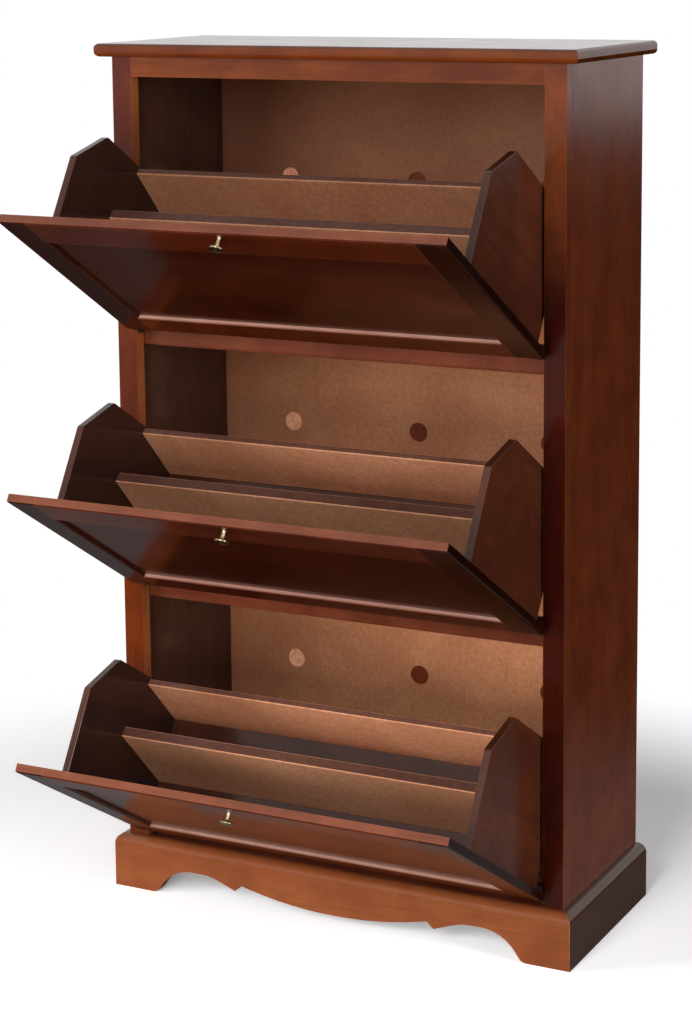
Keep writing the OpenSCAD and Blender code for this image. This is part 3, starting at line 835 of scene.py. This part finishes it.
@dataclass
class SubAssembly:
    """A sub-assembly of the cabinet, with ways to dress its frame nodes.

    SQUARE, RISING and FACING are cosines, which tell faces that stand square to each other, turn
    upwards or face +X. Points within SAME_POINT become one, faces within FLAT_WITHIN degrees count as
    flat, edges sharper than EASED_FROM degrees are eased, and LEVEL_WEIGHT favours the large faces in
    the shading.

    Attributes:
        body: The frame's body that it rides on.
        arris: Width of the eased arrises of its boards.
        steel_arris: Width of the arrises of its brackets or plates.
    """

    SQUARE: ClassVar[float] = 0.5
    RISING: ClassVar[float] = 0.1
    FACING: ClassVar[float] = 0.9
    SAME_POINT: ClassVar[float] = 0.02 * MM
    FLAT_WITHIN: ClassVar[float] = 0.6
    EASED_FROM: ClassVar[float] = 38.0
    LEVEL_WEIGHT: ClassVar[int] = 50

    body: str = "carcass"
    arris: float = 0.8 * MM
    steel_arris: float = 0.25 * MM

    @classmethod
    def upper_edge(cls, mesh: Mesh) -> np.ndarray:
        """Faces of a board's upper edge: square to its widest face and to X, and turned upwards.

        Args:
            mesh: The board's mesh.

        Returns:
            For each face, 1 on the edge and 0 elsewhere.
        """
        normals = face_normals(mesh)
        areas = np.empty(len(mesh.polygons), dtype=np.float32)
        mesh.polygons.foreach_get("area", areas)
        widest = normals[int(np.argmax(areas))]
        square = (np.abs(normals @ widest) < cls.SQUARE) & (np.abs(normals[:, 0]) < cls.SQUARE)
        return (square & (normals[:, 2] > cls.RISING)).astype(np.int32)

    @classmethod
    def right_face(cls, mesh: Mesh) -> np.ndarray:
        """For each face of a mesh, 1 where it points to +X and 0 elsewhere."""
        return (face_normals(mesh)[:, 0] > cls.FACING).astype(np.int32)

    def dress(
        self, node: str, finish: Finish, grain: Grain, arris: float | None = None, edge: Finish | None = None,
        choose: Callable[[Mesh], np.ndarray] | None = None, edge_grain: Grain | None = None,
    ) -> None:
        """Gives a frame node its finish and eases its arrises.

        Args:
            node: The node's name.
            finish: Its finish.
            grain: How it lies in its plank.
            arris: Width of its eased arrises, where it isn't the sub-assembly's own.
            edge: Finish of one of its edges, where that has its own.
            choose: Marks the faces of that edge, the upper one unless it is given.
            edge_grain: How the edge lies in its plank, where that isn't the piece's own way.
        """
        piece = frame["nodes"][node]
        if edge:
            piece.data.materials.append(edge.material(edge_grain or grain))
            piece.data.polygons.foreach_set("material_index", (choose or self.upper_edge)(piece.data))
        piece.material_slots[0].link = "OBJECT"
        piece.material_slots[0].material = finish.material(grain)
        merge = piece.modifiers.new("merge", "WELD")
        merge.merge_threshold = self.SAME_POINT
        flatten = piece.modifiers.new("flatten", "DECIMATE")
        flatten.decimate_type = "DISSOLVE"
        flatten.angle_limit = math.radians(self.FLAT_WITHIN)
        ease = piece.modifiers.new("ease", "BEVEL")
        ease.width = self.arris if arris is None else arris
        ease.segments = 2
        ease.limit_method = "ANGLE"
        ease.angle_limit = math.radians(self.EASED_FROM)
        level = piece.modifiers.new("level", "WEIGHTED_NORMAL")
        level.mode = "FACE_AREA"
        level.weight = self.LEVEL_WEIGHT
        level.keep_sharp = True
        log.info("%s: %s", node, finish.name)

    def fit(self, piece: Object, finish: Finish) -> None:
        """Gives a new piece its finish and fixes it to the sub-assembly's body.

        Args:
            piece: The piece.
            finish: Its finish.
        """
        piece.data.materials.append(finish.material())
        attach(piece, self.body)
        log.info("%s: %s", piece.name, finish.name)


@dataclass
class Carcass(SubAssembly):
    """The standing case: top, sides, stiles, rails, base, back and plinth.

    Attributes:
        thin_arris: Width of the arrises of the face frame and the plinth.
        rail_arris: Width of the rounded arrises of the divider rails.
        stile_face: Y of the stiles' face.
        leaf_x: Distance of the brackets' inner face from the middle.
        leaf_mid: Distance of a leaf's middle behind the stiles' face.
        leaf_screw_rise: Height of a leaf's screws above and below the pivot.
        leaf_screw: Length of a leaf's screw below its face, in millimetres.
        back_face: Distance of the back panel's outer face behind the stiles' face.
        pin_x: Distance of the side pins from the middle.
        pin_low: Height of the pins in the base board.
        pin_high: Height of the topmost pins.
        pins_across: Number of pins in the base board.
        pins_up: Number of pins up each side.
        vent_spacing: Distance between two columns of vents.
        vent_rise: Height of a vent above its flap's pivot.
        vent_radius: Radius of a vent's cover, in millimetres.
        cover_half: Half thickness of the cover, in millimetres.
        cover_depth: Distance of the cover's middle behind the stiles' face.
    """

    thin_arris: float = 0.2 * MM
    rail_arris: float = 4.0 * MM
    stile_face: float = 25.31 * MM
    leaf_x: float = 301.0 * MM
    leaf_mid: float = 8.0 * MM
    leaf_screw_rise: float = 6.0 * MM
    leaf_screw: float = 10.0
    back_face: float = 273.0 * MM
    pin_x: float = 319.0 * MM
    pin_low: float = 68.0 * MM
    pin_high: float = 1165.0 * MM
    pins_across: int = 6
    pins_up: int = 10
    vent_spacing: float = 203.5 * MM
    vent_rise: float = 186.0 * MM
    vent_radius: float = 13.9
    cover_half: float = 0.5
    cover_depth: float = 270.6 * MM

    @property
    def pivots(self) -> list[float]:
        """Heights of the three hinges."""
        return [joint["pos_m"][2] for joint in frame["joints"]]

    def bracket_screws(self) -> None:
        """Two screws in the leaf of each bracket, whose heads face the middle of the cabinet."""
        inward = {side: Matrix.Rotation(math.radians(-90.0 * side), 4, "Y") for side in (-1, 1)}
        y = self.stile_face + self.leaf_mid
        places = [
            Matrix.Translation((side * self.leaf_x, y, pivot + way * self.leaf_screw_rise)) @ inward[side]
            for pivot in self.pivots for side in (-1, 1) for way in (-1, 1)
        ]
        self.fit(countersunk(self.leaf_screw).piece("bracket_screws", places), DARK_STEEL)

    def back_pins(self) -> None:
        """Domed pins along the foot and up both sides of the back panel."""
        low = [(x, self.pin_low) for x in np.linspace(-self.pin_x, self.pin_x, self.pins_across).tolist()]
        rising = np.linspace(self.pin_low, self.pin_high, self.pins_up).tolist()[1:]
        spots = low + [(side * self.pin_x, z) for side in (-1, 1) for z in rising]
        shank = [(0.0, -2.0), (0.7, -2.0), (0.7, 0.0), (2.2, 0.0), (2.2, 0.12)]
        pin = Turned(tuple(shank + domed(2.0, 0.2, 0.4, 5)), steps=20)
        y = self.stile_face + self.back_face
        places = [Matrix.Translation((x, y, z)) @ TO_BACK for x, z in spots]
        self.fit(pin.piece("back_pins", places), DARK_STEEL)

    def vents(self) -> None:
        """Thin covers let into the back panel's vents, painted light in the left column and painted shade in
        the others.
        """
        radius, half = self.vent_radius, self.cover_half
        cover = Turned(((0.0, -half), (radius, -half), (radius, half), (0.0, half)))
        y = self.stile_face + self.cover_depth
        sides = (("left_vent_covers", LIT_VENT, (-1,)), ("right_vent_covers", SHADED_VENT, (0, 1)))
        for name, finish, columns in sides:
            places = [
                Matrix.Translation((column * self.vent_spacing, y, pivot + self.vent_rise)) @ TO_BACK
                for pivot in self.pivots for column in columns
            ]
            self.fit(cover.piece(name, places), finish)

    def build(self) -> None:
        """Dresses the boards of the case and adds its fittings."""
        across, up = Grain(Way.ACROSS), Grain(Way.UP)
        # The top board and the top rail carry painted light.
        self.dress("top_board", LIT_HEAD_LACQUER, Grain(Way.ACROSS, plank=1))
        # The left side's +X face, inside the case, is darker for painted shade.
        inner = {"left": SHADED_LACQUER, "right": None}
        # The left stile's +X face carries a painted reflection; the right stile is darker for painted shade,
        # with a painted lit top.
        stiles = {"left": (FRAME_LACQUER, LIT_STILE_EDGE), "right": (SHADED_POST_LACQUER, SIDE_LACQUER)}
        for side, (stile, stile_edge) in stiles.items():
            self.dress(f"{side}_side", SIDE_LACQUER, up, edge=inner[side], choose=self.right_face)
            grain = Grain(Way.UP, plank=2)
            self.dress(f"{side}_stile", stile, grain, self.thin_arris, stile_edge, self.right_face)
            self.dress(f"plinth_{side}", CHEEK_LACQUER, Grain(Way.DEEP), self.thin_arris)
        self.dress("top_rail", LIT_HEAD_LACQUER, Grain(Way.ACROSS, plank=3), arris=0.15 * MM)
        for rail in ("upper_divider_rail", "lower_divider_rail", "bottom_rail"):
            self.dress(rail, RAIL_LACQUER, across, self.rail_arris)
        self.dress("base_board", RAIL_LACQUER, across)
        # The back panel carries painted shade towards the top and the left.
        self.dress("back_panel", BACK_BOARD, up, arris=0.4 * MM)
        # The plinth front carries painted light.
        self.dress("plinth_front", LIT_PLINTH_LACQUER, Grain(Way.ACROSS, plank=4), self.thin_arris)
        self.dress("glue_blocks", BARE_BEECH, across)
        self.dress("pivot_brackets", DARK_STEEL, up, self.steel_arris)
        self.bracket_screws()
        self.back_pins()
        self.vents()


@dataclass(kw_only=True)
class Flap(SubAssembly):
    """One tilt-out flap: a framed front with a knob, two cheeks and two shoe boards.

    Its own coordinates are x, the depth behind the face of the front, and the height above its foot.
    UPWARD is the cosine above which a face counts as turned towards its top.

    Attributes:
        name: lower, middle or upper.
        tilt: Degrees by which it is open at rest.
        pivot: The hinge's place at rest.
        front_arris: Width of the arrises of the front's frame.
        small_arris: Width of the arrises of the bead and the dowels.
        pivot_in: Depth of the pivot behind the face.
        pivot_drop: Distance of the pivot below the foot.
        knob_x: Distance of the knob's axis to the right of the middle.
        knob_up: Height of the knob's axis.
        screw_seat: Depth of the counterbore's floor, where the knob's screw bears.
        flange_foot: Height of the underside of the pivot plates' flanges.
        flange_screws: Distances of a flange's screws from the middle.
        flange_screw: Length of a flange's screw below its face, in millimetres.
    """

    UPWARD: ClassVar[float] = 0.3

    name: str
    tilt: float
    pivot: Place
    front_arris: float = 0.08 * MM
    small_arris: float = 0.3 * MM
    pivot_in: float = 6.0 * MM
    pivot_drop: float = 5.0 * MM
    knob_x: float = 9.0 * MM
    knob_up: float = 342.33 * MM
    screw_seat: float = 9.0 * MM
    flange_foot: float = -2.0 * MM
    flange_screws: Point = (276.5 * MM, 288.0 * MM)
    flange_screw: float = 9.0

    def at(self, x: float, depth: float, height: float) -> Matrix:
        """The matrix that takes the flap's own directions to one of its points, as it stands at rest."""
        turned = Matrix.Translation(self.pivot) @ Matrix.Rotation(math.radians(self.tilt), 4, "X")
        return turned @ Matrix.Translation((x, depth - self.pivot_in, height + self.pivot_drop))

    def upward(self, mesh: Mesh) -> np.ndarray:
        """Faces that turn towards the top of the flap, square or on a slope.

        Args:
            mesh: The piece's mesh.

        Returns:
            For each face, 1 where it turns that way and 0 elsewhere.
        """
        turn = math.radians(self.tilt)
        way = np.array([0.0, -math.sin(turn), math.cos(turn)])
        return (face_normals(mesh) @ way > self.UPWARD).astype(np.int32)

    def knob(self) -> None:
        """The turned knob, with a beaded neck and a dished head, in place of its plain solid."""
        foot = [(0.0, 0.0), (3.7, 0.0), (4.0, 0.3), (4.0, 0.9), (3.4, 1.3)]
        neck = [(2.9, 2.2), (2.6, 3.5), (2.45, 6.0), (2.5, 9.0)]
        bead = [(2.55, 10.4), *arc((2.6, 11.3), 0.8, -70.0, 70.0), (2.6, 12.3)]
        flare = [(3.0, 13.1), (4.3, 14.1), (6.0, 14.8), (7.4, 15.0)]
        rim = arc((7.5, 16.75), 1.75, -90.0, 90.0, 15)
        dish = [(6.9, 18.35), (6.3, 17.95), (5.4, 17.8), (3.0, 17.8), (2.4, 17.9), (2.1, 18.1)]
        head = rim + dish + domed(1.9, 18.15, 18.35, 5)
        turned = Turned(tuple(foot + neck + bead + flare + head), steps=72)
        place = self.at(self.knob_x, 0.0, self.knob_up) @ TO_FRONT
        piece = turned.piece(f"{self.name}_turned_knob", [place])
        self.fit(piece, AGED_BRASS)
        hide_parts(f"{self.name}_knob")

    def screws(self) -> None:
        """The knob's pan-headed screw, in place of its plain solid, and the screws of the pivot plates."""
        shank = [(0.0, -18.0), (1.5, -18.0), (1.5, 0.0), (3.4, 0.0), (3.5, 0.15), (3.5, 0.8)]
        profile = tuple(shank + domed(3.42, 1.0, 2.0))
        pan = CrossHead(profile, top=0.99, arm=1.7, half_slot=0.38, depth=0.9)
        place = self.at(self.knob_x, self.screw_seat, self.knob_up) @ TO_BACK
        piece = pan.piece(f"{self.name}_pan_screw", [place])
        self.fit(piece, DARK_STEEL)
        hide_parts(f"{self.name}_knob_screw")
        places = [
            self.at(side * x, self.pivot_in, self.flange_foot) @ TO_FLOOR
            for side in (-1, 1) for x in self.flange_screws
        ]
        self.fit(countersunk(self.flange_screw).piece(f"{self.name}_plate_screws", places), DARK_STEEL)

    def build(self) -> None:
        """Dresses the pieces of the flap and adds its fittings."""
        plank = FLAPS.index(self.name)
        up = Grain(Way.UP, self.tilt, plank)
        across = Grain(Way.ACROSS, self.tilt, plank)
        panel = Grain(Way.ACROSS, self.tilt, plank + 5)
        # The fronts' upper edges carry a painted highlight.
        lip = {"arris": self.front_arris, "edge": LIP_HIGHLIGHT, "edge_grain": across}
        self.dress(f"{self.name}_front_stiles", SHADED_DOOR_STILE, up, **lip)
        self.dress(f"{self.name}_front_rails", SHADED_DOOR_RAIL, across, **lip)
        self.dress(f"{self.name}_front_panel", SHADED_DOOR_LACQUER, panel)
        # The bead's upward faces carry a painted highlight.
        self.dress(f"{self.name}_front_bead", SHADED_DOOR_LACQUER, across, self.small_arris, BEAD_HIGHLIGHT, self.upward)
        # The cheeks' +X faces: painted shade inside the left cheek, painted light outside the right one.
        for side, face in (("left", SHADED_CHEEK_FACE), ("right", LIT_CHEEK_FACE)):
            self.dress(f"{self.name}_{side}_cheek", CHEEK_LACQUER, up, edge=face, choose=self.right_face)
        # The middle boards are lighter for painted light; the boards' upper edges are darker for painted shade.
        for board, finish in (("rear", SHOE_BOARD), ("middle", LIT_MIDDLE_BOARD)):
            self.dress(f"{self.name}_{board}_board", finish, across, edge=SHADED_BOARD_EDGE)
        self.dress(f"{self.name}_pocket_floor", CHEEK_LACQUER, across)
        self.dress(f"{self.name}_cleats", CHEEK_LACQUER, up)
        self.dress(f"{self.name}_stop_dowels", BARE_BEECH, across, self.small_arris)
        self.dress(f"{self.name}_pivot_plates", DARK_STEEL, across, self.steel_arris)
        self.knob()
        self.screws()


@dataclass(frozen=True)
class Lamp:
    """A soft lamp that faces the middle of the cabinet.

    Attributes:
        name: Its name.
        power: Its power, in watts.
        wide: Its width.
        tall: Its height.
        azimuth: Degrees round to the right from straight in front.
        height: Its height above the floor.
        distance: Its level distance.
        mirrored: Whether glossy surfaces show it.
    """

    name: str
    power: float
    wide: float
    tall: float
    azimuth: float
    height: float
    distance: float
    mirrored: bool = True

    def build(self, middle: Vector) -> None:
        """Makes the lamp.

        Args:
            middle: What it faces.
        """
        light = bpy.data.lights.new(self.name, "AREA")
        light.energy = self.power
        light.shape = "RECTANGLE"
        light.size = self.wide
        light.size_y = self.tall
        turn = math.radians(self.azimuth)
        ahead = self.distance * math.cos(turn)
        place = Vector((self.distance * math.sin(turn), middle.y - ahead, self.height))
        made = linked(self.name, light)
        made.location = place
        made.rotation_euler = (middle - place).to_track_quat("-Z", "Y").to_euler()
        made.visible_glossy = self.mirrored


@dataclass
class Studio:
    """A plain pale floor and soft lamps round the cabinet.

    Each pair of places is where a change of the floor starts and where it ends, as distances from
    the middle of the floor, or as a place on the Y axis.

    Attributes:
        floor_half: Half width of the floor.
        glow: Share of plain white that the camera sees in the floor near the cabinet.
        white: The camera sees the floor turn plain white.
        near: The lit paper ends for light and mirrors.
        pale: Mirrors see the floor before the cabinet turn pale.
        pale_share: Share of plain white in it.
        behind: The pale floor ends behind the cabinet's front.
        wall: Mirrors see white again far off.
        ambient: Strength of the room's own light.
        middle: What the lamps face.
        lamps: The lamps.
    """

    PAPER: ClassVar[Colour] = (0.82, 0.82, 0.83)
    SHADED: ClassVar[Colour] = (0.3, 0.3, 0.3)
    BRIGHT: ClassVar[Colour] = (1.8, 1.8, 1.82)
    DARK: ClassVar[Colour] = (0.02, 0.02, 0.02)
    WHITE: ClassVar[Colour] = (1.0, 1.0, 1.0)

    floor_half: float = 24.0
    glow: float = 0.2
    white: Point = (0.7, 1.2)
    near: Point = (0.8, 1.4)
    pale: Point = (2.2, 3.7)
    pale_share: float = 0.35
    behind: Point = (-0.5, 0.0)
    wall: Point = (15.0, 17.0)
    ambient: float = 0.02
    middle: Vector = field(default_factory=lambda: Vector((0.0, 0.05, 0.6)))
    lamps: tuple[Lamp, ...] = (
        Lamp("left_low", 50.0, 0.9, 0.8, -52.0, 0.45, 2.4, mirrored=False),
        Lamp("front_low", 40.0, 0.9, 0.9, 6.0, 0.42, 2.4, mirrored=False),
        Lamp("front_high", 44.0, 1.2, 1.0, 6.0, 1.8, 2.8),
        Lamp("right", 34.0, 1.2, 1.2, 80.0, 1.2, 3.05),
    )

    def build(self) -> None:
        """Makes the floor, the lamps and the room's light."""
        self.floor()
        for lamp in self.lamps:
            lamp.build(self.middle)
        self.room()

    def floor(self) -> None:
        """A flat grid of points (x, y, 0) that keeps the shadow and turns plain white further out."""
        count = 25
        side = np.linspace(-self.floor_half, self.floor_half, count)
        x, y = np.meshgrid(side, side)
        points = np.stack([x, y, np.zeros_like(x)], axis=-1).reshape(-1, 3)
        first = np.arange(count - 1)
        corner = (first[:, None] * count + first[None, :]).reshape(-1)
        quads = np.stack([corner, corner + 1, corner + count + 1, corner + count], axis=-1)
        mesh = bpy.data.meshes.new("floor")
        mesh.from_pydata(points, [], quads)
        mesh.materials.append(self.floor_paint())
        linked("floor", mesh)

    @staticmethod
    def mirrored(graph: Graph) -> Socket:
        """1 for rays that mirrors and clear things send out, and 0 for the others."""
        rays = graph.node("LightPath").outputs
        return graph.math("MAXIMUM", rays["Is Glossy Ray"], rays["Is Transmission Ray"])

    def floor_paint(self) -> Material:
        """Pale matt paint, which the camera and mirrors see partly lit by itself.

        Returns:
            The material.
        """
        made = bpy.data.materials.new("pale_floor")
        graph = Graph.cleared(made)
        distance = graph.vector_math("LENGTH", graph.place())
        seen = graph.node("LightPath").outputs["Is Camera Ray"]
        mirrored = self.mirrored(graph)
        pale = graph.times(graph.step(distance, *self.pale), self.pale_share)
        ahead = graph.times(pale, graph.math("SUBTRACT", 1.0, graph.along("Y", self.behind)))
        bright = graph.math("MAXIMUM", ahead, graph.step(distance, *self.wall))
        far = graph.step(distance, *self.white, self.glow, 1.0)
        glow = graph.math("MAXIMUM", graph.times(seen, far), graph.times(mirrored, bright))
        lit = graph.blend(mirrored, self.PAPER, self.SHADED)
        hidden = graph.blend(graph.step(distance, *self.near), lit, self.DARK)
        paint = graph.node("BsdfDiffuse")
        graph.supply(paint, color=graph.blend(seen, hidden, self.BRIGHT))
        white = graph.supply(graph.node("Emission"), color=self.WHITE, strength=1.0)
        mixed = graph.node("MixShader")
        graph.supply(mixed, glow, paint.outputs["BSDF"], white.outputs["Emission"])
        graph.supply(graph.node("OutputMaterial"), surface=mixed.outputs["Shader"])
        return made

    def room(self) -> None:
        """White to the camera and to mirrors, and a soft even light on everything."""
        world = bpy.data.worlds.new("room")
        bpy.context.scene.world = world
        graph = Graph.cleared(world)
        seen = graph.math("MAXIMUM", graph.node("LightPath").outputs["Is Camera Ray"], self.mirrored(graph))
        strength = graph.supply(graph.node("MapRange"), value=seen, to_min=self.ambient, to_max=1.0)
        light = graph.node("Background")
        graph.supply(light, color=self.WHITE, strength=strength.outputs["Result"])
        graph.supply(graph.node("OutputWorld"), surface=light.outputs["Background"])


@dataclass(frozen=True)
class PhotoCamera:
    """The camera, fitted to the photograph's straight edges.

    Attributes:
        image_w: Width of the photograph, in pixels.
        image_h: Its height, in pixels.
        focal_px: Focal length, in pixels.
        axis_px: Pixel that the lens's axis meets.
        sensor: Width of the sensor, in millimetres.
        place: Where the camera stands.
        azimuth: Degrees that it is turned to the left of +Y.
        pitch: Degrees that it looks down.
        roll: Degrees that it is rolled clockwise.
    """

    image_w: int = 692
    image_h: int = 1024
    focal_px: float = 2435.0
    axis_px: Point = (346.0, 320.0)
    sensor: float = 36.0
    place: Place = (1.4622, -2.8045, 1.3365)
    azimuth: float = 26.98
    pitch: float = 8.88
    roll: float = 0.53

    def build(self) -> None:
        """Makes the camera and looks through it."""
        longer = max(self.image_w, self.image_h)
        lens = bpy.data.cameras.new("photo_camera")
        lens.sensor_fit = "AUTO"
        lens.sensor_width = self.sensor
        lens.lens = self.focal_px * self.sensor / longer
        lens.shift_x = (self.image_w / 2 - self.axis_px[0]) / longer
        lens.shift_y = (self.axis_px[1] - self.image_h / 2) / longer
        turned = Matrix.Rotation(math.radians(self.azimuth), 4, "Z")
        pitched = Matrix.Rotation(math.radians(90.0 - self.pitch), 4, "X")
        rolled = Matrix.Rotation(math.radians(-self.roll), 4, "Z")
        made = linked("photo_camera", lens)
        made.matrix_world = Matrix.Translation(self.place) @ turned @ pitched @ rolled
        bpy.context.scene.camera = made


def main() -> None:
    """Builds the stage, then each sub-assembly."""
    logging.basicConfig(level=logging.INFO, format="%(name)s: %(message)s")
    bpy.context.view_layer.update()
    PhotoCamera().build()
    Studio().build()
    Carcass().build()
    for joint in frame["joints"]:
        name = joint["child"].removesuffix("_flap")
        Flap(body=joint["child"], name=name, tilt=joint["range_deg"][1], pivot=tuple(joint["pos_m"])).build()
    bpy.context.scene.view_settings.view_transform = "Standard"


if __name__ == "__main__":
    main()
